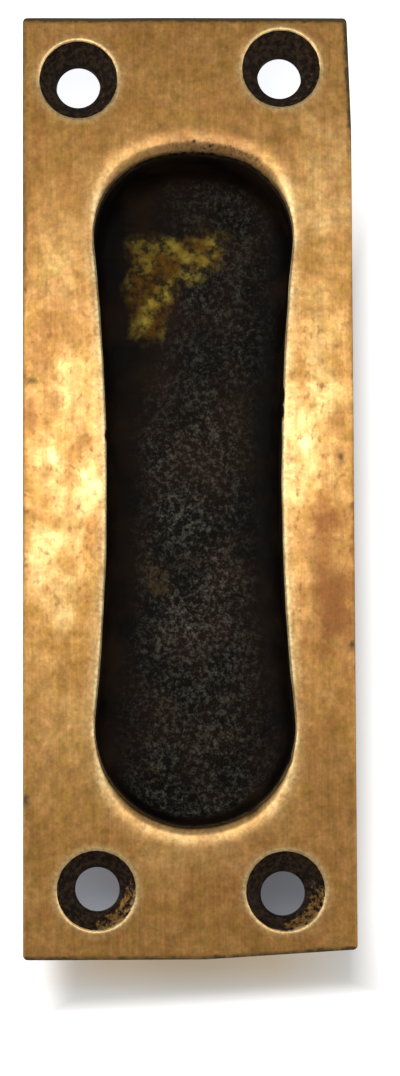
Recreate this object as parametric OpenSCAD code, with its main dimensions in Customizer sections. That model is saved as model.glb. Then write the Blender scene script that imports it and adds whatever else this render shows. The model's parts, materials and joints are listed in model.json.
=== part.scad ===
// Flush pull for a sliding door: a brass plate with a waisted finger recess.
// The plate stands upright as on the door: X to the right, Z up, Y into the door.
// The origin is the middle of the plate's back, which lies on the door.

/* [Face plate] */
// Width of the plate
plate_width = 35; // [32:0.5:60]
// Length of the plate
plate_length = 100; // [94:1:160]
// Thickness of the plate
plate_thickness = 3.2; // [2.8:0.1:5]
// Bevel that wear has left on the outer edges of the face
edge_bevel = 0.35; // [0.1:0.05:0.8]
// How far the upper right corner has been filed in
shoulder_draw = 0.4; // [0.1:0.05:1]
// Length of the edge that slopes in to that corner
shoulder_length = 12; // [5:1:25]
// How far the lower edge rises to the right corner
foot_rise = 0.95; // [0.1:0.05:1.2]
// Length of the lower edge that rises
foot_length = 16; // [5:1:20]

/* [Recess outline] */
// Distance of the recess to the right of the plate's middle
recess_shift = 0.6; // [-1.5:0.05:1.5]
// Width of the recess at its waist
waist_width = 18.5; // [15:0.1:20]
// Height of the waist above the plate's middle
waist_height = -0.4; // [-4:0.1:4]
// Width of the round lower end
lower_width = 21.1; // [20.4:0.1:23]
// Drop from the waist to the centre of the lower end
lower_drop = 25.1; // [18:0.1:27]
// Width of the recess at the shoulders of the upper end
upper_width = 21.2; // [20.6:0.1:23]
// Rise from the waist to the widest place of the upper end
upper_rise = 26.7; // [18:0.1:28]
// Radius of the upper end's shoulders
shoulder_radius = 9; // [7:0.1:10]
// Rise of the flat crown above the shoulders
crown_rise = 0.2; // [0.2:0.05:1.2]

/* [Recess section] */
// Depth of the recess below the face
recess_depth = 10; // [8:0.1:14]
// Radius of the rolled rim
rim_radius = 2; // [1:0.1:2.4]
// Radius between the cup's wall and its floor
floor_radius = 2.4; // [1.2:0.1:3]
// Thickness of the cup's wall
cup_wall = 2; // [1.2:0.1:3]
// Thickness of the cup's floor
cup_floor = 2; // [1.2:0.1:3]

/* [Brazed joint] */
// Gap between the cup and the side of its seat in the plate
seat_clearance = 0.1; // [0.05:0.05:0.2]
// Depth of the groove round the seat
groove_depth = 0.7; // [0.3:0.1:0.8]
// Radius of the hollow fillet of brazing metal
braze_radius = 1.3; // [0.8:0.1:1.6]
// Blunt edge of the fillet against the cup
braze_lip = 0.25; // [0.15:0.05:0.5]

/* [Screw holes] */
// Diameter of the screw's shank
screw_shank = 4.2; // [3:0.1:5]
// Room round the shank, on the diameter
shank_clearance = 0.5; // [0.1:0.1:0.8]
// Diameter of the countersink at the face
countersink_width = 8.5; // [7:0.1:9]
// Full angle of the countersink
countersink_angle = 90; // [82:1:100]
// Upper left hole, from the side
upper_left_side = 5.95; // [5.2:0.05:8]
// Upper left hole, from the top
upper_left_end = 6.75; // [5.2:0.05:8]
// Upper right hole, from the side
upper_right_side = 7.45; // [6:0.05:8]
// Upper right hole, from the top
upper_right_end = 5.55; // [5.2:0.05:8]
// Lower left hole, from the side
lower_left_side = 7.7; // [5.2:0.05:8]
// Lower left hole, from the bottom
lower_left_end = 7.25; // [5.2:0.05:8]
// Lower right hole, from the side
lower_right_side = 7.5; // [5.2:0.05:8]
// Lower right hole, from the bottom
lower_right_end = 7.1; // [6:0.05:8]

/* [Hidden] */
$fn = 144;

// How far a cutting shape runs past the face that it cuts
past = 1;

side = plate_width / 2;
end = plate_length / 2;

// The corners of the plate seen from the front, from the lower left one anticlockwise
plate_corners = [
    [-side, -end],
    [side - foot_length, -end],
    [side, -end + foot_rise],
    [side, end - shoulder_length],
    [side - shoulder_draw, end],
    [-side, end]
];

// The four hand-placed screw holes
screw_holes = [
    [-side + upper_left_side, end - upper_left_end],
    [side - upper_right_side, end - upper_right_end],
    [-side + lower_left_side, -end + lower_left_end],
    [side - lower_right_side, -end + lower_right_end]
];
bore_radius = (screw_shank + shank_clearance) / 2;
countersink_slope = tan(countersink_angle / 2);
countersink_depth = (countersink_width / 2 - bore_radius) / countersink_slope;

// The recess outline is a closed chain of arcs, each tangent to the next. From the waist a long
// hollow arc on each side runs down to the round lower end, and one runs up to the shoulders, which
// a flat crown joins. The turns are kept to a thousandth of a degree and the rest follows from them.
waist = waist_width / 2;
lower_radius = lower_width / 2;
shoulder = upper_width / 2;
shoulder_offset = shoulder - shoulder_radius;

lower_turn = fine(2 * atan((lower_radius - waist) / lower_drop));
lower_reach = (lower_radius - waist) / (1 - cos(lower_turn));
lower_flank_radius = lower_reach - lower_radius;
lower_centre = [0, waist_height - lower_reach * sin(lower_turn)];
lower_flank_centre = [waist + lower_flank_radius, waist_height];

upper_turn = fine(2 * atan((shoulder - waist) / upper_rise));
upper_reach = (shoulder - waist) / (1 - cos(upper_turn));
upper_flank_radius = upper_reach - shoulder_radius;
shoulder_centre = [shoulder_offset, waist_height + upper_reach * sin(upper_turn)];
upper_flank_centre = [waist + upper_flank_radius, waist_height];

crown_turn = fine(2 * atan(crown_rise / shoulder_offset));
crown_radius = shoulder_radius + shoulder_offset / sin(crown_turn);
crown_centre = [0, shoulder_centre.y - (crown_radius - shoulder_radius) * cos(crown_turn)];

// Heights above the plate's back, with the face upwards
seat_height = plate_thickness - rim_radius;
floor_height = plate_thickness - recess_depth;
cup_bottom = floor_height - cup_floor;

// Distances outwards from the recess outline
seat_side = cup_wall + seat_clearance;
braze_toe = cup_wall + braze_lip;
groove_edge = braze_toe + braze_radius;

// The flat part of a swept section that a core laps, and where in it the core's edge lies
lap = 2;
lap_middle = lap / 2;

function fine(angle) = round(angle * 1000) / 1000;

// Moves in whole, thousandth and smaller steps, so that a long way keeps its last digits
module move_to(place) {
    whole = [for (v = place) round(v)];
    thousandths = [for (i = [0 : len(place) - 1]) fine(place[i] - whole[i])];
    translate(whole)
        translate(thousandths)
            translate(place - whole - thousandths)
                children();
}

// Stands a shape that lies on its back upright on the door
module upright() {
    rotate([90, 0, 0])
        children();
}

// Sweeps a section along one arc of the outline. The section's x runs outwards from the recess, and
// on a hollow arc outwards is towards the arc's centre.
module sweep_arc(centre, radius, first, turn, hollow = false) {
    move_to([centre.x, centre.y, 0])
        rotate_extrude(start = first, angle = turn)
            move_to([radius, 0])
                mirror([hollow ? 1 : 0, 0])
                    children();
}

// Sweeps a section once round the recess outline
module sweep_outline() {
    sweep_arc(lower_centre, lower_radius, 180 - lower_turn, 180 + 2 * lower_turn)
        children();
    sweep_arc(crown_centre, crown_radius, 90 - crown_turn, 2 * crown_turn)
        children();
    for (hand = [0, 1])
        mirror([hand, 0, 0]) {
            sweep_arc(lower_flank_centre, lower_flank_radius, 180, lower_turn, hollow = true)
                children();
            sweep_arc(upper_flank_centre, upper_flank_radius, 180 - upper_turn, upper_turn, hollow = true)
                children();
            sweep_arc(shoulder_centre, shoulder_radius, 360 - upper_turn, 90 - crown_turn + upper_turn)
                children();
        }
}

// The middle of the recess, whose edge runs about a given inset from the outline
module core(inset) {
    translate(lower_centre)
        circle(lower_radius - inset);
    for (hand = [-1, 1])
        translate([hand * shoulder_centre.x, shoulder_centre.y])
            circle(shoulder_radius - inset);
    half_outline = [
        [lower_radius - inset, lower_centre.y],
        [waist - inset, waist_height],
        [shoulder - inset, shoulder_centre.y]
    ];
    polygon(concat(half_outline, [for (i = [2 : -1 : 0]) [-half_outline[i].x, half_outline[i].y]]));
}

// Section of what is cut from the plate along the outline: the rolled rim above the seat
module rim_section() {
    difference() {
        polygon([
            [-lap, seat_height],
            [0, seat_height],
            [rim_radius, plate_thickness],
            [rim_radius, plate_thickness + past],
            [-lap, plate_thickness + past]
        ]);
        translate([rim_radius, seat_height])
            circle(rim_radius);
    }
}

// Section of the seat for the cup, with the braze groove round it
module seat_section() {
    polygon([
        [-lap, -past],
        [groove_edge, -past],
        [groove_edge, 0],
        [seat_side, groove_depth],
        [seat_side, seat_height],
        [-lap, seat_height]
    ]);
}

// Section of the cup's wall, the fillet at its foot and the edge of its floor
module cup_section() {
    foot = floor_height + floor_radius;
    corner = floor_radius + min(cup_wall, cup_floor);
    corner_centre = [cup_wall - corner, cup_bottom + corner];
    edge = -floor_radius - lap;
    difference() {
        union() {
            polygon([
                [edge, cup_bottom],
                [corner_centre.x, cup_bottom],
                [cup_wall, corner_centre.y],
                [cup_wall, seat_height],
                [edge, seat_height]
            ]);
            intersection() {
                translate(corner_centre)
                    circle(corner);
                translate([corner_centre.x, cup_bottom])
                    square(corner);
            }
        }
        polygon([
            [edge - past, floor_height],
            [-floor_radius, floor_height],
            [0, foot],
            [0, seat_height + past],
            [edge - past, seat_height + past]
        ]);
        translate([-floor_radius, foot])
            circle(floor_radius);
    }
}

// Section of the brazing metal: it fills the groove and climbs the cup in a hollow fillet
module braze_section() {
    difference() {
        polygon([
            [cup_wall, groove_depth],
            [cup_wall, -braze_radius],
            [braze_toe, -braze_radius],
            [groove_edge, 0],
            [seat_side, groove_depth]
        ]);
        translate([groove_edge, -braze_radius])
            circle(braze_radius);
    }
}

// One screw hole, countersunk from the face
module screw_hole() {
    translate([0, 0, -past])
        cylinder(r = bore_radius, h = plate_thickness + 2 * past);
    translate([0, 0, plate_thickness - countersink_depth])
        cylinder(
            r1 = bore_radius,
            r2 = countersink_width / 2 + past * countersink_slope,
            h = countersink_depth + past
        );
}

// The bevel along the plate's edge from one corner to the next
module bevel_cut(from, to) {
    run = to - from;
    translate([from.x, from.y, plate_thickness])
        rotate([0, 0, atan2(run.y, run.x)])
            translate([-past, 0, 0])
                rotate([90, 0, 90])
                    linear_extrude(norm(run) + 2 * past)
                        polygon([
                            [edge_bevel + past, past],
                            [-past, past],
                            [-past, -edge_bevel - past]
                        ]);
}

module face_plate() {
    color("#b5894a")
        upright()
            difference() {
                linear_extrude(plate_thickness)
                    polygon(plate_corners);
                translate([recess_shift, 0, 0]) {
                    sweep_outline()
                        rim_section();
                    sweep_outline()
                        seat_section();
                    translate([0, 0, -past])
                        linear_extrude(plate_thickness + 2 * past)
                            core(lap_middle);
                }
                for (place = screw_holes)
                    translate([place.x, place.y, 0])
                        screw_hole();
                for (i = [0 : len(plate_corners) - 1])
                    bevel_cut(plate_corners[i], plate_corners[(i + 1) % len(plate_corners)]);
            }
}

module finger_cup() {
    color("#2b2822")
        upright()
            translate([recess_shift, 0, 0]) {
                sweep_outline()
                    cup_section();
                translate([0, 0, cup_bottom])
                    linear_extrude(cup_floor)
                        core(floor_radius + lap_middle);
            }
}

module braze_fillet() {
    color("#c9a765")
        upright()
            translate([recess_shift, 0, 0])
                sweep_outline()
                    braze_section();
}

face_plate();
finger_cup();
braze_fillet();
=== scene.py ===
import json
import math

import bmesh
import bpy
import numpy as np
from bpy.props import FloatProperty, FloatVectorProperty, PointerProperty, StringProperty
from mathutils import Matrix, Vector, kdtree, noise
from mathutils.geometry import delaunay_2d_cdt


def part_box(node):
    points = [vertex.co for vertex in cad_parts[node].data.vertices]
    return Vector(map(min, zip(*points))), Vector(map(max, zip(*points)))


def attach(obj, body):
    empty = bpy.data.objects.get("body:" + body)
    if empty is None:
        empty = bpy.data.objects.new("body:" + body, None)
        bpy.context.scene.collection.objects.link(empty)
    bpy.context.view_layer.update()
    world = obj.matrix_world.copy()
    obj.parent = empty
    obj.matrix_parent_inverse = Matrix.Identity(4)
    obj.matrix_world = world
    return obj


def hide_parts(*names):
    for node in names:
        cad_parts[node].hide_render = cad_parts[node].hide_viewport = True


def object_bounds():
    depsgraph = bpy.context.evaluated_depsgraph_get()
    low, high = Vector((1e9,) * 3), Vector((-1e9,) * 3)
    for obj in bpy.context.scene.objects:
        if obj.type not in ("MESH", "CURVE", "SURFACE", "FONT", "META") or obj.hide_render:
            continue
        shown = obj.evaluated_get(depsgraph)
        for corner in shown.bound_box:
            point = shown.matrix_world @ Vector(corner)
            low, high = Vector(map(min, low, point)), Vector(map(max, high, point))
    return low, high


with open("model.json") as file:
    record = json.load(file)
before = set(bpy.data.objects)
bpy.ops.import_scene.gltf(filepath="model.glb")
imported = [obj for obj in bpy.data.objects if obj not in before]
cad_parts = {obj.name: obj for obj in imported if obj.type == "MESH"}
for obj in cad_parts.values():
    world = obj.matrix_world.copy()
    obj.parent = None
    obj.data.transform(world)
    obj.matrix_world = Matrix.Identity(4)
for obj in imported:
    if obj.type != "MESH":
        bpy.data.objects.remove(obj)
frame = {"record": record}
CAD_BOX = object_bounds()

bl_info = {
    "name": "Sliding door pull",
    "version": (1, 0, 0),
    "blender": (4, 5, 0),
    "location": "3D view > Sidebar > Door pull",
    "description": "Dresses the packed pull: polished plate, cast cup, braze, table and light",
    "category": "Object",
}

MM = 0.001
QUARTER = math.pi / 2
WHITE = (1, 1, 1, 1)
PLATE_LOW, PLATE_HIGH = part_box("face_plate")
CUP_LOW, CUP_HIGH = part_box("finger_cup")
BORES = [m for m in frame["record"]["mounts"] if m["kind"] == "bore"]

# Distances between the points of the meshes, and the number of points round a screw hole
EDGE_SPACING, FACE_SPACING, PLATE_BACK_SPACING = 0.5 * MM, 0.5 * MM, 0.8 * MM
RIM_SPACING, CUP_SPACING, CUP_BACK_SPACING, BRAZE_SPACING = 0.35 * MM, 0.24 * MM, 0.5 * MM, 0.4 * MM
HOLE_POINTS = 96

# Jitter of the points inside a filled patch, and their distance from its edge, in spacings
JITTER, CLEAR = 0.15, 0.6

# Faces that meet at more than these angles, in degrees, keep a sharp edge
PLATE_SHARP, CUP_SHARP, BRAZE_SHARP = 40, 75, 50

# Shift of the noise for each seed along X, Y and Z, and the seeds of the worn patch's edge
SEED_STEPS = (7.13, 3.71, 5.37)
PATCH_SEEDS = range(31, 43)

# The paint of each point: edge grime, soot, the side that looks into the door, and pale lip
# The pale lip is worn brass and partly a painted highlight
PAINT = ("arris", "soot", "back", "lip")
BACK = PAINT.index("back")

# Marks on the face: place to the right and up, half width and half height in mm, and strength
STAINS = [
    (15, -12.4, 3, 6, 1), (14.5, -4.2, 2.5, 2.2, 1), (14.6, -9.5, 3, 9, 0.7),
    (14, -17.5, 1.3, 1.6, 0.7), (14.5, -31, 3.5, 9, 0.3), (-15.5, 13.6, 1.3, 2.2, 0.6),
    (-14.2, 9.2, 1, 1.6, 0.55), (-16.7, 7.4, 0.7, 2.2, 0.7), (-12.2, 16, 0.8, 1.6, 0.5),
    (-13, 18, 4, 4.5, 0.4), (8, -43, 11, 8, 0.25), (-5, -46, 11, 4, 0.15),
    (16, 3, 0.9, 1.1, 0.6), (15.8, -22.6, 0.8, 1.4, 0.5), (1.6, 36.6, 8, 1.6, 0.75),
    (-11.4, 4.2, 1.4, 1.6, 0.4), (15.6, 6.6, 1, 2, 0.4), (-16, -3, 1.2, 1.4, 0.4),
]
SPECKS = [
    (17.1, -17.2, 0.4, 0.5, 1), (-17.2, -33.2, 0.45, 0.8, 0.9), (-16.5, 11, 0.35, 0.35, 0.9),
    (16.1, 2.6, 0.3, 0.3, 0.8),
]
# Rubbed places are worn brass and partly painted highlights that widen the lamp's band
RUBS_AND_HIGHLIGHTS = [
    (-14.7, 2, 2, 2.6, 0.7), (-10.6, -0.5, 1.6, 3.6, 0.7), (-14.9, -6.6, 2, 2.6, 0.65),
    (-12.6, -3.6, 2.4, 4.6, 0.45), (-16, -9, 1.2, 4, 0.5), (11.8, 5.6, 1.9, 5.2, 0.75),
    (14, 10.4, 2, 4.2, 0.7), (11.2, 0.6, 1.5, 4, 0.65), (-13.4, -12, 2.8, 4, 0.4),
    (14.2, 33.5, 3.8, 8.5, 1), (14, 18, 3, 5, 0.2), (-14, 46, 4, 4, 0.3),
    (0.6, -39.5, 9, 2, 0.3), (-13.4, 24, 3, 5, 0.55), (-13, -26, 4, 5, 0.3),
    (-12.8, 10.2, 3.4, 5, 0.3), (14.4, 2, 2.2, 2.8, 0.25),
]

# Nicks in the rim: place on the face, half length along the rim and depth, in mm
RIM_NICKS = [
    (10.1, 9.3, 0.9, 0.26), (9.9, 7.6, 0.7, 0.3), (-8.7, 5.1, 0.5, 0.22), (10.8, -29.2, 0.7, 0.1),
    (6.6, -34.7, 0.8, 0.1),
]

# How far each bore was drilled off the centre of its countersink, to the right and up, in mm
BORES_ASTRAY = {
    "screw_hole_upper_left": (-0.12, -0.15), "screw_hole_upper_right": (-0.1, -0.35),
    "screw_hole_lower_left": (0, 0), "screw_hole_lower_right": (-0.2, -0.4),
}

# The corners of the worn patch and the brown spots on the cup's floor, in mm
WORN_PATCH = [(-6.3, 28.2), (4, 28.6), (4, 26.2), (-1.6, 23), (-3.4, 17.6), (-5.8, 17.6)]
BROWN_SPOTS = [
    (-3.2, -9.3, 2.3, 2.6, 0.7), (-4.3, -31, 2.2, 1.6, 0.7), (-5, 8, 1.8, 5.5, 0.4),
    (1.5, 3, 3, 7, 0.3),
]


def length(name, description, default):
    """A length in metres that a user would change."""
    return FloatProperty(name=name, description=description, default=default, unit="LENGTH", precision=5)


def place(name, description, default):
    """A point in metres that a user would move."""
    return FloatVectorProperty(name=name, description=description, default=default, subtype="TRANSLATION")


def angle(name, description, default):
    """A slope or a turn, in radians."""
    return FloatProperty(name=name, description=description, default=default, subtype="ANGLE")


def power(name, description, default):
    """A light's power in watts."""
    return FloatProperty(name=name, description=description, default=default, unit="POWER", precision=3)


def colour(name, description, default):
    """An sRGB colour, written as hex."""
    return StringProperty(name=name, description=description, default=default)


class PlateSizes(bpy.types.PropertyGroup):
    width: length("Width", "Width of the plate", PLATE_HIGH[0] - PLATE_LOW[0])
    height: length("Length", "Length of the plate", PLATE_HIGH[2] - PLATE_LOW[2])
    thickness: length("Thickness", "Thickness of the plate", -PLATE_LOW[1])
    arris: length("Arris", "Radius of the worn outer edge of the face", 0.35 * MM)
    corner: length("Corner", "Radius of the corners seen from the front", 0.5 * MM)
    shoulder_draw: length("Shoulder draw", "How far the upper right corner is filed in", 0.4 * MM)
    shoulder_length: length("Shoulder length", "Length of the edge that slopes in there", 12 * MM)
    foot_rise: length("Foot rise", "How far the lower edge rises to the right", 0.95 * MM)
    foot_length: length("Foot length", "Length of the lower edge that rises", 16 * MM)
    roll_turn: angle("Roll turn", "Slope at which the rim's roll tightens", math.radians(12))
    end_lead: length("End lead", "Radius of the slow start of the rim's roll at the recess's ends", 8 * MM)
    end_roll: length("End roll", "Radius of the tight part of the roll at the ends", 1.5 * MM)
    flank_lead: length("Flank lead", "Radius of the slow start on the flanks", 2 * MM)
    flank_roll: length("Flank roll", "Radius of the tight part on the flanks", 0.5 * MM)
    countersink: length("Countersink", "Diameter of the countersinks at the face", 8.5 * MM)
    lip: length("Lip", "Radius of the worn lip of a countersink", 0.5 * MM)
    unevenness: length("Unevenness", "How far hand filing left the face uneven", 0.05 * MM)


class RecessSizes(bpy.types.PropertyGroup):
    shift: length("Shift", "How far the recess lies right of the middle", (CUP_LOW[0] + CUP_HIGH[0]) / 2)
    wall: length("Wall", "Thickness of the cup's wall and floor", 2 * MM)
    waist_width: length("Waist width", "Width at the waist", 18.5 * MM)
    waist_height: length("Waist height", "Height of the waist above the plate's middle", -0.4 * MM)
    lower_width: length("Lower width", "Width of the round lower end", 21.1 * MM)
    lower_drop: length("Lower drop", "From the waist to the lower end's centre", 25.1 * MM)
    upper_width: length("Upper width", "Width at the shoulders", 21.2 * MM)
    upper_rise: length("Upper rise", "From the waist up to the shoulders", 26.7 * MM)
    shoulder: length("Shoulder radius", "Radius of the shoulders", 9 * MM)
    crown_rise: length("Crown rise", "Rise of the crown above the shoulders", 0.2 * MM)
    seat: length("Seat height", "Height of the cup's seat above the plate's back", 1.2 * MM)
    floor_radius: length("Floor radius", "Radius between wall and floor", 2.4 * MM)
    grit: length("Grit", "Width of the sand grains that marked the casting", 0.4 * MM)
    roughness: length("Skin", "How far the cast skin stands up and down", 0.07 * MM)


class BrazeSizes(bpy.types.PropertyGroup):
    groove: length("Groove depth", "Depth of the groove round the seat", 0.7 * MM)
    clearance: length("Clearance", "Gap between the cup and the side of its seat", 0.1 * MM)
    hollow: length("Hollow", "Radius of the hollow fillet", 1.3 * MM)
    blunt: length("Blunt edge", "Edge of the fillet against the cup", 0.25 * MM)
    ripple: length("Ripple", "Spacing of the ripples left as the metal ran", 2.2 * MM)
    swell: length("Swell", "How far the ripples stand up", 0.16 * MM)


class FinishColours(bpy.types.PropertyGroup):
    brass_worn: colour("Worn brass", "Brass where hands keep it bright", "#D0A060")
    brass_brown: colour("Browned brass", "Brass under a light brown patina", "#AE7C44")
    brass_olive: colour("Olive brass", "Brass under greenish patina", "#A8803C")
    brass_stain: colour("Stain", "Darker handling stain", "#80522E")
    # Rubbed brass is partly a painted highlight
    brass_pale: colour("Rubbed brass", "Pale brass where it is rubbed most", "#F2DA98")
    edge_grime: colour("Edge grime", "Olive grime along the outer edges", "#3C3420")
    # The lip colour is partly a painted highlight
    lip: colour("Lip", "Pale brass of worn lips and rims", "#F2DEA8")
    soot: colour("Soot black", "Black oxide and old wax in the hollows", "#150D07")
    soot_brown: colour("Soot brown", "Brown of the thinner soot", "#36281A")
    cast_black: colour("Cast black", "Blackened sand-cast bronze", "#0C0805")
    cast_brown: colour("Cast brown", "Brown of the thinner casting skin", "#24180E")
    cast_grey: colour("Grain grey", "Rubbed tops of the cast grain", "#726E60")
    cast_worn: colour("Cast worn", "Bare olive-yellow bronze on the cup's floor", "#A08A36")
    cast_ochre: colour("Cast ochre", "Thinly covered bronze in the worn patch", "#644410")
    cast_rust: colour("Cast rust", "Brown spots on the cup's floor", "#4C3A1E")
    braze: colour("Braze", "Yellow brazing metal", "#B8924E")
    braze_dull: colour("Dull braze", "Flux-stained brazing metal", "#7C5E38")
    paper: colour("Paper", "Matt white table", "#F4F3F0")
    paper_shade: colour("Paper shade", "Bluish paper under the pull, in its shade", "#B4BCC8")
    # Warm paper is a painted tint for light reflected from the brass
    paper_painted_bounce: colour("Warm paper", "Paper that takes up the brass's colour below the plate", "#ECDCC2")


class StageSizes(bpy.types.PropertyGroup):
    table: length("Table", "Side of the table", 1.2)
    camera_place: place("Camera", "Place of the camera", (-0.00158, -0.2186, -0.0287))
    camera_aim: place("Aim", "Point on the face that the camera looks at", (0.00112, -0.0032, -0.01846))
    camera_roll: angle("Roll", "Turn of the camera about its axis", math.radians(0.25))
    camera_lens: FloatProperty(
        name="Lens", description="Focal length on a frame 36 mm wide", default=68.66, unit="CAMERA"
    )
    camera_shift: FloatProperty(
        name="Shift", description="Upward shift of the picture, in picture heights", default=0.1115
    )
    lamp_place: place("Lamp", "Place of the lamp beside the camera", (-0.025, -0.15, 0.027))
    lamp_width: length("Lamp width", "Width of the lamp", 0.1)
    lamp_height: length("Lamp height", "Height of the lamp", 0.055)
    lamp_power: power("Lamp power", "Power of the lamp", 0.088)
    panel_place: place("Panel", "Place of the right panel; the left mirrors it", (0.35, -0.2, 0.05))
    panel_width: length("Panel width", "Width of each side panel", 0.12)
    panel_height: length("Panel height", "Height of each side panel", 0.25)
    panel_power: power("Panel power", "Power of each side panel", 0.3)
    sky: FloatProperty(name="Room light", description="Strength of the light from all round", default=0.58)
    # The glow is painted light; no lamp lights the table from above
    glow: FloatProperty(name="Glow", description="Glow of the table away from the pull's shadow", default=0.7)


def settings(context, *names):
    """The scene's property groups of those names."""
    return [getattr(context.scene, "door_pull_" + name) for name in names]


def linear(hex_colour):
    """sRGB hex to the linear colour that shaders take."""
    channels = [int(hex_colour[i:i + 2], 16) / 255 for i in (1, 3, 5)]
    return [c / 12.92 if c <= 0.04045 else ((c + 0.055) / 1.055) ** 2.4 for c in channels] + [1.0]


def ease(start, end, value):
    """0 at start and before it, 1 at end and past it, and smooth between; end may lie below start."""
    t = np.clip((np.asarray(value, float) - start) / (end - start), 0, 1)
    return t * t * (3 - 2 * t)


def wander(points, size, seed):
    """Smooth noise from -1 to 1 at each point, flat or solid, with waves about size long."""
    points = np.asarray(points, float)
    points = np.pad(points, ((0, 0), (0, 3 - points.shape[1]))) / np.broadcast_to(size, 3)
    shift = Vector([seed * step for step in SEED_STEPS])
    return np.array([noise.noise(Vector(p) + shift) for p in points])


def spots(points, places):
    """How strongly each point is marked by the spots at places, which have ragged edges."""
    flat = points * (1, 0, 1)
    ragged = 0.4 * wander(flat, 2.6 * MM, seed=21) + 0.3 * wander(flat, 0.9 * MM, seed=22)
    marked = np.zeros(len(points))
    for x, z, wide, high, strength in places:
        away = np.hypot((points[:, 0] / MM - x) / wide, (points[:, 2] / MM - z) / high) + ragged
        marked = np.maximum(marked, strength * ease(1.25, 0.3, away))
    return marked


def ring_sides(count, first=0):
    """Pairs of neighbours round a closed ring of so many points."""
    return [(first + i, first + (i + 1) % count) for i in range(count)]


def within(points, flat, sides):
    """True for each point that lies inside an odd number of the closed rings."""
    inside = np.zeros(len(points), bool)
    for a, b in sides:
        (ax, az), (bx, bz) = flat[a], flat[b]
        spans = (az > points[:, 1]) != (bz > points[:, 1])
        if spans.any():
            inside ^= spans & (points[:, 0] < (bx - ax) * (points[:, 1] - az) / (bz - az or 1) + ax)
    return inside


class Shell:
    """One piece as rings of points, bands between rings and filled patches, with paint at each point."""

    def __init__(self):
        self.points, self.paint, self.faces = [], [], []

    def lay(self, flat, height, **paint):
        """Lays painted points, seen from the front, at one height above the plate's back or one for each."""
        first, count = len(self.points), len(flat)
        self.points += [(x, -h, z) for (x, z), h in zip(flat, np.broadcast_to(height, count))]
        self.paint += list(np.stack([np.broadcast_to(paint.get(key, 0.0), count) for key in PAINT], axis=1))
        return list(range(first, first + count))

    def bands(self, rings):
        """Four-sided faces from each ring to the next, which has as many points."""
        for one, two in zip(rings, rings[1:]):
            self.faces += zip(one, one[1:] + one[:1], two[1:] + two[:1], two)

    def fill(self, rings, height, spacing, seed, **paint):
        """Triangles between rings, over points about spacing apart."""
        edge = [i for ring in rings for i in ring]
        flat = np.array([(self.points[i][0], self.points[i][2]) for i in edge])
        sides = []
        for ring in rings:
            sides += ring_sides(len(ring), len(sides))
        low, high = flat.min(0), flat.max(0)
        across = np.arange(low[0], high[0], spacing)
        up = np.arange(low[1], high[1], spacing * math.sqrt(3) / 2)
        x, z = np.meshgrid(across, up)
        x = x + (np.arange(len(up)) % 2)[:, None] * spacing / 2
        grid = np.c_[x.ravel(), z.ravel()]
        grid += np.random.RandomState(seed).uniform(-JITTER, JITTER, grid.shape) * spacing
        grid = grid[within(grid, flat, sides)]
        tree = kdtree.KDTree(len(flat))
        for i, p in enumerate(flat):
            tree.insert((p[0], p[1], 0), i)
        tree.balance()
        grid = np.array([p for p in grid if tree.find((p[0], p[1], 0))[2] > spacing * CLEAR])
        known = edge + self.lay(grid, height, **paint)
        places = [Vector(p) / MM for p in np.vstack([flat, grid])]
        found, _, faces, origin, _, _ = delaunay_2d_cdt(places, sides, [], 0, 1e-6)
        if len(found) != len(places):
            raise RuntimeError("points of a filled patch coincide")
        # Tested in the rounded places that the triangles come from, so no sliver on a straight edge is kept
        found = np.array([tuple(p) for p in found], float)
        middles = np.array([found[list(f)].mean(0) for f in faces])
        for face, inside in zip(faces, within(middles, found[:len(flat)], sides)):
            if inside:
                self.faces.append(tuple(known[origin[i][0]] for i in face))

    def piece(self, name, node, material, sharp, shape, wear=lambda points, paint: ()):
        """The finished mesh object, after shape has moved its points and wear has marked them."""
        mesh = bpy.data.meshes.new(name)
        mesh.from_pydata(self.points, [], self.faces)
        build = bmesh.new()
        build.from_mesh(mesh)
        bmesh.ops.recalc_face_normals(build, faces=build.faces)
        build.to_mesh(mesh)
        build.free()
        points, paint = np.array(self.points), np.array(self.paint)
        normals = np.array([v.normal for v in mesh.vertices])
        marks = np.zeros(paint.shape)
        for i, mark in enumerate(wear(points, paint)):
            marks[:, i] = mark
        mesh.vertices.foreach_set("co", shape(points, normals, paint).ravel())
        for layer, values in (("paint", paint), ("wear", marks)):
            mesh.attributes.new(layer, "FLOAT_COLOR", "POINT").data.foreach_set("color", values.ravel())
        mesh.shade_smooth()
        mesh.set_sharp_from_angle(angle=math.radians(sharp))
        mesh.update()
        if mesh.validate():
            raise RuntimeError(name + " has faulty faces")
        mesh.materials.append(material)
        made = bpy.data.objects.new(name, mesh)
        bpy.context.scene.collection.objects.link(made)
        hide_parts(node)
        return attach(made, "root")


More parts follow.
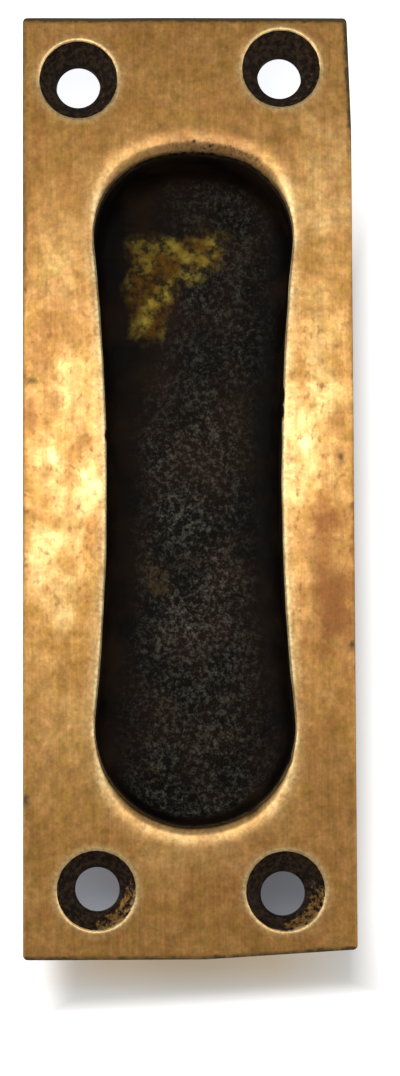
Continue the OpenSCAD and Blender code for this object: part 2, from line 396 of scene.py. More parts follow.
def recess_outline(r, spacing):
    """Points round the recess anticlockwise from the right of its waist, and the way out at each."""
    waist, lower, upper = r.waist_width / 2, r.lower_width / 2, r.upper_width / 2
    offset = upper - r.shoulder
    low_turn = 2 * math.atan((lower - waist) / r.lower_drop)
    low_reach = (lower - waist) / (1 - math.cos(low_turn))
    high_turn = 2 * math.atan((upper - waist) / r.upper_rise)
    high_reach = (upper - waist) / (1 - math.cos(high_turn))
    crown_turn = 2 * math.atan(r.crown_rise / offset)
    crown = r.shoulder + offset / math.sin(crown_turn)
    low_z = r.waist_height - low_reach * math.sin(low_turn)
    high_z = r.waist_height + high_reach * math.sin(high_turn)
    low_flank, high_flank = low_reach - lower, high_reach - r.shoulder
    crown_z = high_z - (crown - r.shoulder) * math.cos(crown_turn)
    # Centre, radius, first and last angle; a hollow arc has its centre outside the recess
    arcs = [
        ((waist + high_flank, r.waist_height), high_flank, 2 * QUARTER, 2 * QUARTER - high_turn, True),
        ((offset, high_z), r.shoulder, -high_turn, QUARTER - crown_turn, False),
        ((0, crown_z), crown, QUARTER - crown_turn, QUARTER + crown_turn, False),
        ((-offset, high_z), r.shoulder, QUARTER + crown_turn, 2 * QUARTER + high_turn, False),
        ((-waist - high_flank, r.waist_height), high_flank, high_turn, 0, True),
        ((-waist - low_flank, r.waist_height), low_flank, 0, -low_turn, True),
        ((0, low_z), lower, 2 * QUARTER - low_turn, 4 * QUARTER + low_turn, False),
        ((waist + low_flank, r.waist_height), low_flank, 2 * QUARTER + low_turn, 2 * QUARTER, True),
    ]
    points, ways = [], []
    for (x, z), radius, first, last, hollow in arcs:
        steps = max(2, round(radius * abs(last - first) / spacing))
        for a in np.linspace(first, last, steps, endpoint=False):
            way = np.array((math.cos(a), math.sin(a)))
            points.append(np.array((x + r.shift, z)) + radius * way)
            ways.append(-way if hollow else way)
    return np.array(points), np.array(ways)


def rim_section(lead, tight, turn, face, seat):
    """Distances out from the cup's wall with their heights: a slow start, a tight roll and the wall below."""
    drop = lead * (1 - math.cos(turn))
    join = tight * (1 - math.sin(turn))
    start = join + lead * math.sin(turn)
    section = [(start + 0.15 * MM, face)]
    for a in np.linspace(0, turn, 7):
        section.append((start - lead * math.sin(a), face - lead * (1 - math.cos(a))))
    for a in np.linspace(turn, QUARTER, 12)[1:]:
        inward, down = tight * (math.sin(a) - math.sin(turn)), tight * (math.cos(turn) - math.cos(a))
        section.append((join - inward, face - drop - down))
    foot = section[-1][1]
    return section + [(0, h) for h in np.linspace(foot, seat, 4)[1:]]


def plate_outline(p, spacing):
    """Points round the plate anticlockwise from the front, and the way out at each."""
    side, end = p.width / 2, p.height / 2
    corners = np.array([
        (-side, -end), (side - p.foot_length, -end), (side, -end + p.foot_rise),
        (side, end - p.shoulder_length), (side - p.shoulder_draw, end), (-side, end),
    ])
    points, ways = [], []
    for before, corner, after in zip(np.roll(corners, 1, 0), corners, np.roll(corners, -1, 0)):
        into = (corner - before) / np.linalg.norm(corner - before)
        on = (after - corner) / np.linalg.norm(after - corner)
        first = math.atan2(-into[0], into[1])
        turn = math.atan2(into[0] * on[1] - into[1] * on[0], into @ on)
        middle = first + turn / 2
        centre = corner - p.corner / math.cos(turn / 2) * np.array((math.cos(middle), math.sin(middle)))
        for a in np.linspace(first, first + turn, 2 + round(turn / math.radians(18))):
            way = np.array((math.cos(a), math.sin(a)))
            points.append(centre + p.corner * way)
            ways.append(way)
        run = after - corner
        reach = p.corner * math.tan(turn / 2)
        whole = np.linalg.norm(run)
        for t in np.arange(reach + spacing, whole - p.corner - spacing / 2, spacing):
            points.append(corner + run * t / whole)
            ways.append(np.array((on[1], -on[0])))
    return np.array(points), np.array(ways)


def add(tree, kind, inputs=(), **fields):
    """Adds a node, sets its fields, and gives its open inputs, in order or by name, a value or a link."""
    made = tree.nodes.new("ShaderNode" + kind)
    for key, value in fields.items():
        setattr(made, key, value)
    sockets = [s for s in made.inputs if s.enabled]
    for key, value in inputs.items() if isinstance(inputs, dict) else enumerate(inputs):
        socket = made.inputs[key] if isinstance(key, str) else sockets[key]
        if isinstance(value, bpy.types.Node):
            value = next(s for s in value.outputs if s.enabled)
        if isinstance(value, bpy.types.NodeSocket):
            tree.links.new(value, socket)
        else:
            socket.default_value = value
    return made


def new_material(name):
    """An empty material with its tree and its object coordinates."""
    made = bpy.data.materials.new(name)
    made.use_nodes = True
    made.node_tree.nodes.clear()
    return made, made.node_tree, add(made.node_tree, "TexCoord").outputs["Object"]


def polished_brass(c):
    # Brass, filed and then polished by hand and by years of use. Fine upright file marks spread a
    # highlight sideways into a band, patina browns it in blotches, and old wax blackens the hollows.
    made, tree, coords = new_material("Brass, filed and hand polished")
    paint = add(tree, "Attribute", attribute_name="paint")
    arris, soot, back = add(tree, "SeparateColor", [paint.outputs["Color"]]).outputs
    lip = paint.outputs["Alpha"]
    wear = add(tree, "Attribute", attribute_name="wear")
    stain, speck, rub_and_highlight = add(tree, "SeparateColor", [wear.outputs["Color"]]).outputs
    handled_and_highlit = wear.outputs["Alpha"]

    # File marks, polishing streaks and dents: width and height in mm, detail and roughness.
    # File marks are some 0.05 mm wide; drawn 0.22 mm wide and 6 mm long so that they show.
    upright = []
    for wide, high, detail, rough in ((0.22, 6, 2, 0.6), (1.3, 12, 2, 0.5), (0.8, 1.1, 3, 0.5)):
        scale = (1 / (wide * MM), 1 / (wide * MM), 1 / (high * MM))
        stretched = add(tree, "Mapping", {"Vector": coords, "Scale": scale})
        upright.append(add(tree, "TexNoise", (stretched, 1.0, detail, rough)))
    fine, broad, dent = upright
    # Blotches, mottling, green patches, grain and flecks: size in mm, detail and roughness.
    # The metal's own grain is finer; drawn 0.4 mm wide so that it shows.
    blotch, mottle, green, grain, fleck = (
        add(tree, "TexNoise", (coords, 1 / (size * MM), detail, rough))
        for size, detail, rough in (
            (3.5, 5, 0.65), (1.1, 4, 0.6), (1.8, 4, 0.6), (0.4, 2, 0.6), (0.55, 3, 0.7)
        )
    )
    blotch.inputs["Distortion"].default_value = 0.5

    # Patina lies in blotches, and more evenly away from the middle, which the hand keeps bright and a painted
    # highlight lightens
    patina = add(tree, "MapRange", (blotch, 0.36, 0.64, 0, 1))
    evenness = add(tree, "MapRange", (handled_and_highlit, 0, 1, 0.5, 0))
    patina = add(tree, "Mix", (evenness, patina, 0.95), data_type="FLOAT")
    base = add(tree, "Mix", (patina, linear(c.brass_worn), linear(c.brass_brown)), data_type="RGBA")
    green = add(tree, "MapRange", (green, 0.42, 0.66, 0, 0.75))
    # Rubbed places are pale, most in the middle, and are partly painted highlights
    pale_and_highlight = add(tree, "MapRange", (blotch, 0.4, 0.6, 0.9, 0.3))
    pale_and_highlight = add(tree, "Math", (rub_and_highlight, pale_and_highlight), operation="MULTIPLY")
    cleaner_and_highlit = add(tree, "MapRange", (handled_and_highlit, 0, 1, 0.25, 1))
    pale_and_highlight = add(tree, "Math", (pale_and_highlight, cleaner_and_highlit), operation="MULTIPLY")
    reddish = add(tree, "MapRange", (broad, 0.5, 0.72, 0, 0.45))
    ragged = add(tree, "MapRange", (mottle, 0.3, 0.6, 0.65, 1))
    stained = add(tree, "Math", (stain, ragged), operation="MULTIPLY")
    for cover, shade in (
        (green, c.brass_olive), (pale_and_highlight, c.brass_pale), (reddish, c.brass_stain), (stained, c.brass_stain)
    ):
        base = add(tree, "Mix", (cover, base, linear(shade)), data_type="RGBA")

    # Each pattern darkens and lightens the brass between its two tones; the rubs, partly painted highlights,
    # only lighten it
    tone = 1.0
    tones = (
        (fine, 0.3, 0.7, 0.91, 1.07), (broad, 0.3, 0.7, 0.88, 1.16), (mottle, 0.3, 0.7, 0.74, 1.22),
        (rub_and_highlight, 0, 1, 1, 1.25), (grain, 0.3, 0.7, 0.86, 1.12),
    )
    for pattern in tones:
        tone = add(tree, "Math", (tone, add(tree, "MapRange", pattern)), operation="MULTIPLY")
    base = add(tree, "Mix", (1.0, base, tone), data_type="RGBA", blend_type="MULTIPLY")

    # Small dents gather in the middle, where hands grip the pull, and hold brown polish
    dents = add(tree, "MapRange", (dent, 0.56, 0.7, 0, 0.9))
    dentable = add(tree, "MapRange", (handled_and_highlit, 0, 1, 0.1, 0.8))
    dents = add(tree, "Math", (dents, dentable), operation="MULTIPLY")
    # The back is dull, and lips and rims are worn pale through their grain, partly as a painted highlight
    dull = add(tree, "Math", (back, 0.7), operation="MULTIPLY")
    lip_pale_and_highlight = add(tree, "MapRange", (grain, 0.35, 0.65, 0.4, 1))
    lip_pale_and_highlight = add(tree, "Math", (lip, lip_pale_and_highlight), operation="MULTIPLY")
    # Grime along the edges, and soot in the hollows, break off in flecks
    grime = add(tree, "Math", (arris, mottle), operation="ADD")
    grime = add(tree, "MapRange", (grime, 0.75, 1.1, 0, 0.95))
    specked = add(tree, "Math", (grime, speck), operation="MAXIMUM")
    for cover, shade in (
        (dents, c.brass_stain), (dull, c.brass_stain), (lip_pale_and_highlight, c.lip), (specked, c.edge_grime)
    ):
        base = add(tree, "Mix", (cover, base, linear(shade)), data_type="RGBA")
    sooty = add(tree, "Math", (soot, fleck), operation="ADD")
    sooty = add(tree, "MapRange", (sooty, 0.9, 1.15, 0, 1))
    thinner = add(tree, "MapRange", (fleck, 0.36, 0.56, 1, 0))
    black = add(tree, "Mix", (thinner, linear(c.soot), linear(c.soot_brown)), data_type="RGBA")
    base = add(tree, "Mix", (sooty, base, black), data_type="RGBA")

    # Where grime or soot covers the brass it is no metal and is rougher
    covered = add(tree, "Math", (specked, sooty), operation="MAXIMUM")
    metal = add(tree, "MapRange", (covered, 0, 1, 1, 0))
    rough = add(tree, "MapRange", (blotch, 0.3, 0.7, 0.4, 0.5))
    rougher = add(tree, "Math", (covered, 0.7), operation="MULTIPLY")
    rough = add(tree, "Math", (rough, rougher), operation="MAXIMUM")
    bump = add(tree, "Bump", {"Height": fine, "Strength": 0.2, "Distance": 0.02 * MM})
    across = add(tree, "Tangent", direction_type="RADIAL", axis="Z")
    shader = add(tree, "BsdfPrincipled", {
        "Base Color": base, "Metallic": metal, "Roughness": rough, "Specular IOR Level": 0.1,
        "Anisotropic": 0.8, "Tangent": across, "Normal": bump,
    })
    add(tree, "OutputMaterial", {"Surface": shader})
    return made


def cast_bronze(c):
    # Bronze, sand cast and left with its black casting skin. The grains of the mould show as a fine
    # tooth, rubbed grey on top, and the skin is worn through to olive bronze where nails scrape.
    made, tree, coords = new_material("Bronze, sand cast and blackened")
    wear = add(tree, "Attribute", attribute_name="wear")
    patch, spot, rubbed = add(tree, "SeparateColor", [wear.outputs["Color"]]).outputs
    # Grain, clots, the depth of the wear and clouds: size in mm, detail and roughness.
    # The sand's grains are some 0.2 mm wide; drawn 0.6 mm wide so that they show.
    grain, clots, deeper, cloud = (
        add(tree, "TexNoise", (coords, 1 / (size * MM), detail, rough))
        for size, detail, rough in ((0.6, 5, 0.9), (1.2, 4, 0.65), (2.6, 3, 0.5), (6, 3, 0.5))
    )
    thin = add(tree, "MapRange", (cloud, 0.42, 0.68, 0, 1))
    base = add(tree, "Mix", (thin, linear(c.cast_black), linear(c.cast_brown)), data_type="RGBA")
    tops = add(tree, "MapRange", (grain, 0.49, 0.65, 0, 1))
    tops = add(tree, "Math", (tops, rubbed), operation="MULTIPLY")
    rusty = add(tree, "Math", (spot, clots), operation="MULTIPLY")
    rusty = add(tree, "MapRange", (rusty, 0.27, 0.5, 0, 0.9))
    for cover, shade in ((tops, c.cast_grey), (rusty, c.cast_rust)):
        base = add(tree, "Mix", (cover, base, linear(shade)), data_type="RGBA")
    # The worn patch keeps clots of skin, and its bronze is ochre where thin skin is left
    bare = add(tree, "MapRange", (clots, 0.4, 0.6, 0.1, 1))
    bare = add(tree, "Math", (bare, patch), operation="MULTIPLY")
    deeper = add(tree, "MapRange", (deeper, 0.4, 0.62, 0, 1))
    bronze = add(tree, "Mix", (deeper, linear(c.cast_ochre), linear(c.cast_worn)), data_type="RGBA")
    base = add(tree, "Mix", (bare, base, bronze), data_type="RGBA")
    rough = add(tree, "MapRange", (cloud, 0.3, 0.7, 0.55, 0.7))
    # The black skin is an oxide, not bare metal
    shader = add(tree, "BsdfPrincipled", {
        "Base Color": base, "Metallic": 0.0, "Roughness": rough, "Specular IOR Level": 0.06,
    })
    add(tree, "OutputMaterial", {"Surface": shader})
    return made


def run_braze(c):
    # Yellow brazing metal, left as it ran: smooth, softly rippled and dulled by flux in patches.
    made, tree, coords = new_material("Brazing brass, as run")
    flux = add(tree, "TexNoise", (coords, 1 / (2.5 * MM), 4))
    dulled = add(tree, "MapRange", (flux, 0.4, 0.62, 0, 1))
    base = add(tree, "Mix", (dulled, linear(c.braze), linear(c.braze_dull)), data_type="RGBA")
    rough = add(tree, "MapRange", (dulled, 0, 1, 0.32, 0.55))
    shader = add(tree, "BsdfPrincipled", {"Base Color": base, "Metallic": 1.0, "Roughness": rough})
    add(tree, "OutputMaterial", {"Surface": shader})
    return made


def white_paper(c, s):
    # Matt white paper with a painted glow, as if lit from above and from the sides, so that it shines white
    # through the upper holes; where the glow stops, below the pull, a painted shadow joins the cast one. It
    # is one-sided, so that the back can be seen from behind.
    made, tree, coords = new_material("Paper, matt white")
    fibre = add(tree, "TexNoise", (coords, 1 / (4 * MM), 3))
    tone = add(tree, "MapRange", (fibre, 0.3, 0.7, 0.98, 1))
    base = add(tree, "Mix", (1.0, linear(c.paper), tone), data_type="RGBA", blend_type="MULTIPLY")
    x, _, z = add(tree, "SeparateXYZ", [coords]).outputs
    aside = add(tree, "Math", [x], operation="ABSOLUTE")

    # Next to the lower edge a warm tint is painted, for light that the brass reflects onto the paper
    bounce_tint = add(tree, "MapRange", (z, -52 * MM, -55 * MM, 1, 0))
    nearer = add(tree, "MapRange", (aside, 9 * MM, 18 * MM, 1, 0))
    bounce_tint = add(tree, "Math", (bounce_tint, nearer), operation="MULTIPLY")
    base = add(tree, "Mix", (bounce_tint, base, linear(c.paper_painted_bounce)), data_type="RGBA")
    # Behind the plate it lies in a bluish shade, which deepens towards the lower right
    hidden = add(tree, "MapRange", (z, -46.5 * MM, -49.5 * MM, 1, 0))
    nearer = add(tree, "MapRange", (aside, 16 * MM, 17 * MM, 1, 0))
    hidden = add(tree, "Math", (hidden, nearer), operation="MULTIPLY")
    deeper = add(tree, "Math", (z, -0.25, x), operation="MULTIPLY_ADD")
    deeper = add(tree, "MapRange", (deeper, 0, 20 * MM, 1.12, 0.72))
    shade = add(tree, "Mix", (1.0, linear(c.paper_shade), deeper), data_type="RGBA", blend_type="MULTIPLY")
    base = add(tree, "Mix", (hidden, base, shade), data_type="RGBA")
    matt = add(tree, "BsdfDiffuse", [base])

    # It glows past these edges, painted light around a painted shadow; the lower one rises to the right,
    # where the glow is weaker at the foot
    slant = add(tree, "Math", (x, -0.06, z), operation="MULTIPLY_ADD")
    above = add(tree, "MapRange", (z, 20 * MM, 38 * MM, 0, s.glow))
    soft = "SMOOTHSTEP"
    below = add(tree, "MapRange", (slant, -54.3 * MM, -57.8 * MM, 0, s.glow), interpolation_type=soft)
    left = add(tree, "MapRange", (x, -12 * MM, -19 * MM, 0, s.glow), interpolation_type=soft)
    right = add(tree, "MapRange", (x, 17.5 * MM, 22 * MM, 0, s.glow))
    higher = add(tree, "MapRange", (z, -56 * MM, -46 * MM, 0.5, 1))
    glow = add(tree, "Math", (right, higher), operation="MULTIPLY")
    for edge in (left, above, below):
        glow = add(tree, "Math", (glow, edge), operation="MAXIMUM")
    glow = add(tree, "Emission", {"Color": WHITE, "Strength": glow})
    lit = add(tree, "AddShader", (matt, glow))
    clear = add(tree, "BsdfTransparent")
    behind = add(tree, "NewGeometry").outputs["Backfacing"]
    add(tree, "OutputMaterial", {"Surface": add(tree, "MixShader", (behind, lit, clear))})
    return made


def plate_edge(shell, p):
    """Rings from the back up the side and over the worn arris, which is a little uneven."""
    edge, out = plate_outline(p, EDGE_SPACING)
    wear = 1 + 0.2 * wander(edge, 6 * MM, seed=1)
    # Grime lies along the top, along the bottom and at the top of both sides
    (right, up), high = out.T, edge[:, 1]
    grime = np.clip(up, 0, 1) + 0.65 * np.clip(-up, 0, 1)
    grime += np.clip(-right, 0, 1) * (0.25 + 0.25 * ease(12 * MM, 24 * MM, high))
    grime += np.clip(right, 0, 1) * (0.2 + 0.6 * ease(30 * MM, 42 * MM, high))
    # Insets and heights: the broken back edge, then straight up to below the arris
    side = [(0.15 * MM, 0), (0.04 * MM, 0.04 * MM), (0, 0.15 * MM), (0, 1.2 * MM)]
    side.append((0, p.thickness - 1.6 * p.arris))
    rings = [shell.lay(edge - inset * out, height, arris=0.4 * grime) for inset, height in side]
    for a in np.radians((0, 22.5, 45, 67.5, 90)):
        inset = p.arris * wear * (1 - math.cos(a))
        height = p.thickness - p.arris * wear * (1 - math.sin(a))
        rings.append(shell.lay(edge - inset[:, None] * out, height, arris=grime * (1 - 0.2 * a)))
    shell.bands(rings)
    return rings


def plate_rim(shell, p, r, b):
    """Rings down the rolled rim and on round the cup's seat to the back.

    The roll is soft at the ends of the recess, where fingers hook in, and tight along its flanks.
    """
    flat, way = recess_outline(r, RIM_SPACING)
    up = way[:, 1]
    soft = ease(0.1, 0.85, abs(up))
    nick = np.zeros(len(flat))
    for x, z, half, depth in RIM_NICKS:
        nearest = flat[np.argmin(np.hypot(flat[:, 0] - x * MM, flat[:, 1] - z * MM))]
        away = np.hypot(*(flat - nearest).T) / (half * MM)
        nick = np.maximum(nick, depth * MM * ease(1, 0.35, away))
    waver = 0.07 * MM * wander(flat, 3 * MM, seed=2)
    # Old wax clings in flecks to the crown's roll, right of its middle
    crown = 0.44 * ease(0.3, 0.8, up) * ease(-7 * MM, 0, flat[:, 0])
    # The rim is worn pale along the flanks, partly as a painted highlight, and black from this far below the
    # face
    # The lower end's roll, which faces the lamp, is painted paler than the upper's, as a highlight
    bright = 1 - soft * (0.85 - 0.2 * ease(0.2, 0.8, -up))
    bright *= np.clip(0.75 + 0.6 * wander(flat, 2.2 * MM, seed=10), 0, 1)
    blackened = (0.3 + (0.55 - 0.12 * ease(-0.5, 0.5, up)) * soft) * MM
    end = rim_section(p.end_lead, p.end_roll, p.roll_turn, p.thickness, r.seat)
    flank = rim_section(p.flank_lead, p.flank_roll, p.roll_turn, p.thickness, r.seat)
    rings = []
    for (end_out, end_high), (flank_out, flank_high) in zip(end, flank):
        out_by = end_out * soft + flank_out * (1 - soft)
        height = end_high * soft + flank_high * (1 - soft)
        drop = p.thickness - height
        out_by = out_by + ease(0.1 * MM, 0.6 * MM, drop) * (nick + waver)
        soot = ease(blackened, blackened + 0.35 * MM, drop)
        soot = np.maximum(soot, crown * ease(0.05 * MM, 0.2 * MM, drop))
        pale_and_highlight = bright * (0.2 + 0.8 * ease(0, 0.08 * MM, drop))
        rings.append(shell.lay(flat + out_by[:, None] * way, height, soot=soot, lip=pale_and_highlight))
    seat_side, groove_edge = r.wall + b.clearance, r.wall + b.blunt + b.hollow
    for out_by, height in ((seat_side, r.seat), (seat_side, b.groove), (groove_edge, 0)):
        rings.append(shell.lay(flat + out_by * way, height, back=1.0))
    shell.bands(rings)
    return rings


def screw_hole(shell, p, mount, number):
    """Rings from the worn lip of a countersink down its rough cone and through the bore."""
    face = p.thickness
    turn = np.linspace(0, 2 * math.pi, HOLE_POINTS, endpoint=False)
    way = np.c_[np.cos(turn), np.sin(turn)]
    centre = np.array((mount["pos_m"][0], mount["pos_m"][2]))
    astray = np.array(BORES_ASTRAY[mount["name"]]) * MM
    bore, wide = mount["dims"]["r_mm"] * MM, p.countersink / 2
    foot = face - (wide - bore)
    start = wide + p.lip * math.tan(math.pi / 8)
    top = start - p.lip * math.sin(math.pi / 4)
    # Radius, height, soot and pale lip of each ring; the pale lip is partly a painted highlight
    profile = [(start + 0.12 * MM, face, 0, 0.2)]
    for a in np.radians((0, 15, 30, 45)):
        sooty = float(a > math.radians(35))
        profile.append((start - p.lip * math.sin(a), face - p.lip * (1 - math.cos(a)), sooty, 0.5))
    for t in np.linspace(0, 1, 7)[1:]:
        profile.append((top + (bore - top) * t, (face - (wide - top)) * (1 - t) + foot * t, 1, 0))
    profile += [(bore, height, 1, 0) for height in (foot - 0.1 * MM, 0.6 * MM, 0.12 * MM)]
    profile.append((bore + 0.12 * MM, 0, 0.5, 0))
    chips = 0.07 * MM * wander(np.c_[way * 4.3, turn * 0 + number * 9], 0.9, seed=3)
    # Drivers have scraped the soot on the lower right, most in the lower holes
    scraped = ease(0.1, 0.9, np.cos(turn + math.radians(40))) * (0.43 if centre[1] < 0 else 0.25)
    rings = []
    for radius, height, soot, lip in profile:
        soot = soot * (1 - scraped * ease(foot, foot + 0.7 * MM, height))
        rough = chips * ease(0.05 * MM, 0.2 * MM, face - height) * ease(foot, foot + 0.4 * MM, height)
        at = centre + astray * ease(face, foot, height)
        rings.append(shell.lay(at + (radius + rough)[:, None] * way, height, soot=soot, lip=lip))
    shell.bands(rings)
    return rings


class DOORPULL_OT_face_plate(bpy.types.Operator):
    """Builds the polished plate with its rolled rim, worn edges and countersinks"""

    bl_idname = "door_pull.face_plate"
    bl_label = "Face plate"

    def execute(self, context):
        p, r, b, c = settings(context, "plate", "recess", "braze", "colours")
        shell = Shell()
        outlines = [plate_edge(shell, p)[::-1], plate_rim(shell, p, r, b)]
        outlines += [screw_hole(shell, p, mount, i) for i, mount in enumerate(BORES)]
        shell.fill([rings[0] for rings in outlines], p.thickness, FACE_SPACING, seed=1)
        shell.fill([rings[-1] for rings in outlines], 0, PLATE_BACK_SPACING, seed=2, back=1.0)

        def shape(points, normals, paint):
            """Hand filing leaves the face a little low in places; nothing stands above the face."""
            flat = points * (1, 0, 1)
            low = 0.5 + 0.5 * wander(flat, (11 * MM, 1, 17 * MM), seed=4)
            low = low + 0.25 * (0.5 + 0.5 * wander(flat, (4 * MM, 1, 7 * MM), seed=5))
            points[:, 1] += p.unevenness * low * ease(1.6 * MM, 3.0 * MM, -points[:, 1])
            return points

        def wear(points, paint):
            """Stains, specks, rubbed places that are partly painted highlights, and the middle, lightened by
            the hand and by a painted highlight.
            """
            handled_and_highlit = 1 - ease(12 * MM, 30 * MM, abs(points[:, 2] - 1 * MM))
            front = ease(1.5 * MM, 2.6 * MM, -points[:, 1])
            return *(spots(points, places) * front for places in (STAINS, SPECKS, RUBS_AND_HIGHLIGHTS)), handled_and_highlit

        brass = polished_brass(c)
        shell.piece("plate_polished", "face_plate", brass, PLATE_SHARP, shape, wear)
        return {"FINISHED"}


class DOORPULL_OT_finger_cup(bpy.types.Operator):
    """Builds the cast cup with its rough skin"""

    bl_idname = "door_pull.finger_cup"
    bl_label = "Finger cup"

    def execute(self, context):
        r, c = settings(context, "recess", "colours")
        shell = Shell()
        bottom = -CUP_HIGH[1]
        floor = bottom + r.wall
        flat, way = recess_outline(r, CUP_SPACING)
        foot = floor + r.floor_radius
        corner = r.floor_radius + r.wall

        # Distances out from the wall's inside, with their heights
        inner = [(0, h) for h in np.linspace(r.seat, foot, round((r.seat - foot) / CUP_SPACING))]
        for a in np.linspace(0, QUARTER, 16)[1:]:
            inner.append((-r.floor_radius * (1 - math.cos(a)), foot - r.floor_radius * math.sin(a)))
        inner = [shell.lay(flat + out_by * way, h) for out_by, h in inner]
        outer = [(r.wall, h) for h in np.linspace(r.seat, foot, 12)]
        for a in np.linspace(0, QUARTER, 14)[1:]:
            outer.append((r.wall - corner * (1 - math.cos(a)), foot - corner * math.sin(a)))
        outer = [shell.lay(flat + out_by * way, h, back=1.0) for out_by, h in outer]
        shell.bands(inner[::-1] + outer)
        shell.fill([inner[-1]], floor, CUP_SPACING, seed=3)
        shell.fill([outer[-1]], bottom, CUP_BACK_SPACING, seed=4, back=1.0)

        def shape(points, normals, paint):
            """Sand grains and shallow swells; the outside only loses, so that it stays in its mortise."""
            swell = wander(points, 3.2 * MM, seed=6)
            grit = wander(points, r.grit, seed=7) + 0.5 * wander(points, r.grit / 2, seed=8)
            rise = r.roughness * (0.6 * swell + grit)
            outside = paint[:, BACK] > 0.5
            rise[outside] = np.minimum(rise[outside] - r.roughness, 0)
            rise *= ease(0, 0.5 * MM, r.seat + points[:, 1])
            return points + rise[:, None] * normals

        def wear(points, paint):
            """The worn patch, brown spots and the part of the floor where the grain is rubbed grey."""
            flat = points * (1, 0, 1)
            x, high = points[:, 0], points[:, 2]
            on_floor = ease(floor + 1.2 * MM, floor + 0.3 * MM, -points[:, 1]) * (1 - paint[:, BACK])
            # The patch's ragged edge is the mean of its outline, strayed in twelve ways
            corners = np.array(WORN_PATCH) * MM
            sides = ring_sides(len(corners))
            patch = np.zeros(len(points))
            for seed in PATCH_SEEDS:
                stray = np.c_[wander(flat, 3 * MM, seed), wander(flat, 3 * MM, seed + 20)] * 2.0 * MM
                patch += within(points[:, (0, 2)] + stray, corners, sides) * on_floor / len(PATCH_SEEDS)
            # Fingertips rub a strip that leans right at the top and widens at the bottom
            middle = r.shift + 0.2 * MM + 2.4 * MM * ease(6 * MM, 20 * MM, high)
            wide = r.waist_width / 2 * (1 + 0.35 * ease(-10 * MM, -28 * MM, high))
            rubbed = on_floor * ease(0.85, 0.25, abs(x - middle) / wide)
            rubbed *= 0.4 + 0.5 * ease(20 * MM, -2 * MM, high)
            rubbed *= (1 - 0.3 * ease(-8 * MM, -24 * MM, high)) * (0.8 + 0.5 * wander(flat, 4 * MM, seed=33))
            return patch, spots(points, BROWN_SPOTS) * on_floor, rubbed

        shell.piece("cup_cast", "finger_cup", cast_bronze(c), CUP_SHARP, shape, wear)
        return {"FINISHED"}


class DOORPULL_OT_braze_fillet(bpy.types.Operator):
    """Builds the rippled run of brazing metal round the cup"""

    bl_idname = "door_pull.braze_fillet"
    bl_label = "Braze fillet"

    def execute(self, context):
        r, b, c = settings(context, "recess", "braze", "colours")
        shell = Shell()
        flat, way = recess_outline(r, BRAZE_SPACING)
        toe = r.wall + b.blunt
        edge = toe + b.hollow
        section = [(r.wall, b.groove), (r.wall, -b.hollow), (toe, -b.hollow)]
        for a in np.linspace(0, QUARTER, 9)[1:]:
            section.append((edge - b.hollow * math.cos(a), -b.hollow + b.hollow * math.sin(a)))
        section.append((r.wall + b.clearance, b.groove))
        rings = [shell.lay(flat + out_by * way, h) for out_by, h in section]
        shell.bands(rings + rings[:1])

        def shape(points, normals, paint):
            """Swells and ripples on the free face of the run."""
            ripple = 0.5 + 0.5 * wander(points, b.ripple, seed=9)
            free = ease(0.1 * MM, 0.4 * MM, points[:, 1]) * ease(-0.2, 0.4, normals[:, 1])
            return points + (b.swell * ripple * free)[:, None] * normals

        shell.piece("braze_run", "braze_fillet", run_braze(c), BRAZE_SHARP, shape)
        return {"FINISHED"}


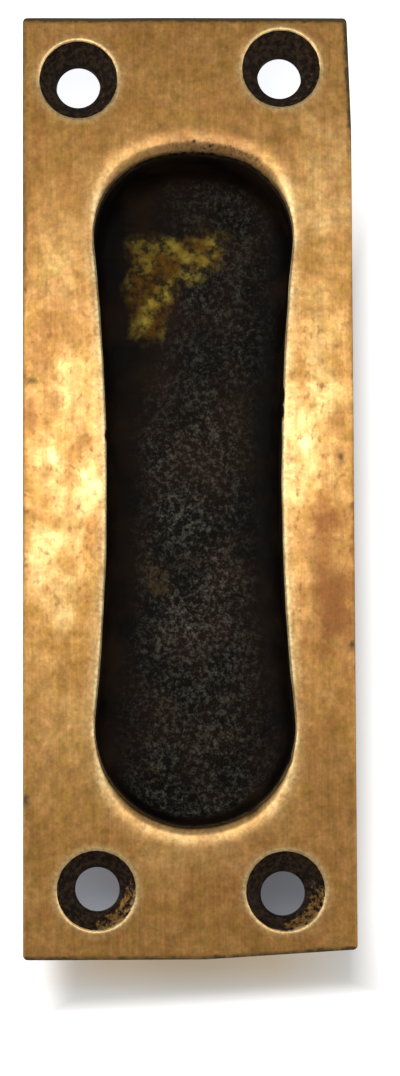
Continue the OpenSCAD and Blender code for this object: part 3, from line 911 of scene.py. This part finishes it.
class DOORPULL_OT_stage(bpy.types.Operator):
    """Builds the white table behind the pull, the lights, the room light and the camera"""

    bl_idname = "door_pull.stage"
    bl_label = "Stage"

    def execute(self, context):
        s, c = settings(context, "stage", "colours")
        scene = context.scene
        half, back = s.table / 2, CAD_BOX[1][1]
        corners = [(x * half, back, z * half) for x, z in ((-1, -1), (1, -1), (1, 1), (-1, 1))]
        mesh = bpy.data.meshes.new("table")
        mesh.from_pydata(corners, [], [(0, 1, 2, 3)])
        mesh.materials.append(white_paper(c, s))
        table = bpy.data.objects.new("table", mesh)
        scene.collection.objects.link(table)
        # The table takes shadows but neither lights nor shades the pull
        for ray in ("diffuse", "glossy", "transmission", "shadow"):
            setattr(table, "visible_" + ray, False)

        # A lamp beside the camera, and a pale panel on each side that lights the flanks of the rim
        right = Vector(s.panel_place)
        left = Vector((-right.x, right.y, right.z))
        lights = [
            ("lamp", Vector(s.lamp_place), s.lamp_width, s.lamp_height, s.lamp_power),
            ("panel_right", right, s.panel_width, s.panel_height, s.panel_power),
            ("panel_left", left, s.panel_width, s.panel_height, s.panel_power),
        ]
        for name, at, wide, high, watts in lights:
            lamp = bpy.data.lights.new(name, "AREA")
            lamp.shape = "RECTANGLE"
            lamp.size, lamp.size_y = wide, high
            lamp.energy = watts
            hung = bpy.data.objects.new(name, lamp)
            hung.matrix_world = Matrix.Translation(at) @ (-at).to_track_quat("-Z", "Y").to_matrix().to_4x4()
            hung.visible_camera = False
            scene.collection.objects.link(hung)

        world = bpy.data.worlds.new("Room, white walls")
        world.use_nodes = True
        world.node_tree.nodes.clear()
        walls = add(world.node_tree, "Background", {"Color": WHITE, "Strength": s.sky})
        add(world.node_tree, "OutputWorld", {"Surface": walls})
        scene.world = world

        camera = bpy.data.cameras.new("camera")
        camera.sensor_width = 36
        camera.lens = s.camera_lens
        camera.shift_y = s.camera_shift
        camera.clip_start, camera.clip_end = 0.01, 10
        at, aim = Vector(s.camera_place), Vector(s.camera_aim)
        ahead = (aim - at).normalized()
        level = ahead.cross(Vector((0, 0, 1))).normalized()
        up = level.cross(ahead) * math.cos(s.camera_roll) + level * math.sin(s.camera_roll)
        turned = Matrix((ahead.cross(up), up, -ahead)).transposed().to_4x4()
        held = bpy.data.objects.new("camera", camera)
        held.matrix_world = Matrix.Translation(at) @ turned
        scene.collection.objects.link(held)
        scene.camera = held
        scene.view_settings.view_transform = "Standard"
        return {"FINISHED"}


class DOORPULL_PT_panel(bpy.types.Panel):
    """Lists the pieces of the pull, its stage and their sizes and colours"""

    bl_label = "Door pull"
    bl_idname = "DOORPULL_PT_panel"
    bl_space_type = "VIEW_3D"
    bl_region_type = "UI"
    bl_category = "Door pull"

    def draw(self, context):
        for operator in OPERATORS:
            self.layout.operator(operator.bl_idname)
        for (name, group), held in zip(GROUPS.items(), settings(context, *GROUPS)):
            box = self.layout.box()
            box.label(text=name.capitalize())
            for key in group.__annotations__:
                box.prop(held, key)


GROUPS = {
    "plate": PlateSizes,
    "recess": RecessSizes,
    "braze": BrazeSizes,
    "colours": FinishColours,
    "stage": StageSizes,
}
OPERATORS = (DOORPULL_OT_face_plate, DOORPULL_OT_finger_cup, DOORPULL_OT_braze_fillet, DOORPULL_OT_stage)
CLASSES = (*GROUPS.values(), *OPERATORS, DOORPULL_PT_panel)


def register():
    for kind in CLASSES:
        bpy.utils.register_class(kind)
    for name, group in GROUPS.items():
        setattr(bpy.types.Scene, "door_pull_" + name, PointerProperty(type=group))


def unregister():
    for name in GROUPS:
        delattr(bpy.types.Scene, "door_pull_" + name)
    for kind in reversed(CLASSES):
        bpy.utils.unregister_class(kind)


def main():
    register()
    bpy.ops.door_pull.face_plate()
    bpy.ops.door_pull.finger_cup()
    bpy.ops.door_pull.braze_fillet()
    bpy.ops.door_pull.stage()


if __name__ == "__main__":
    main()
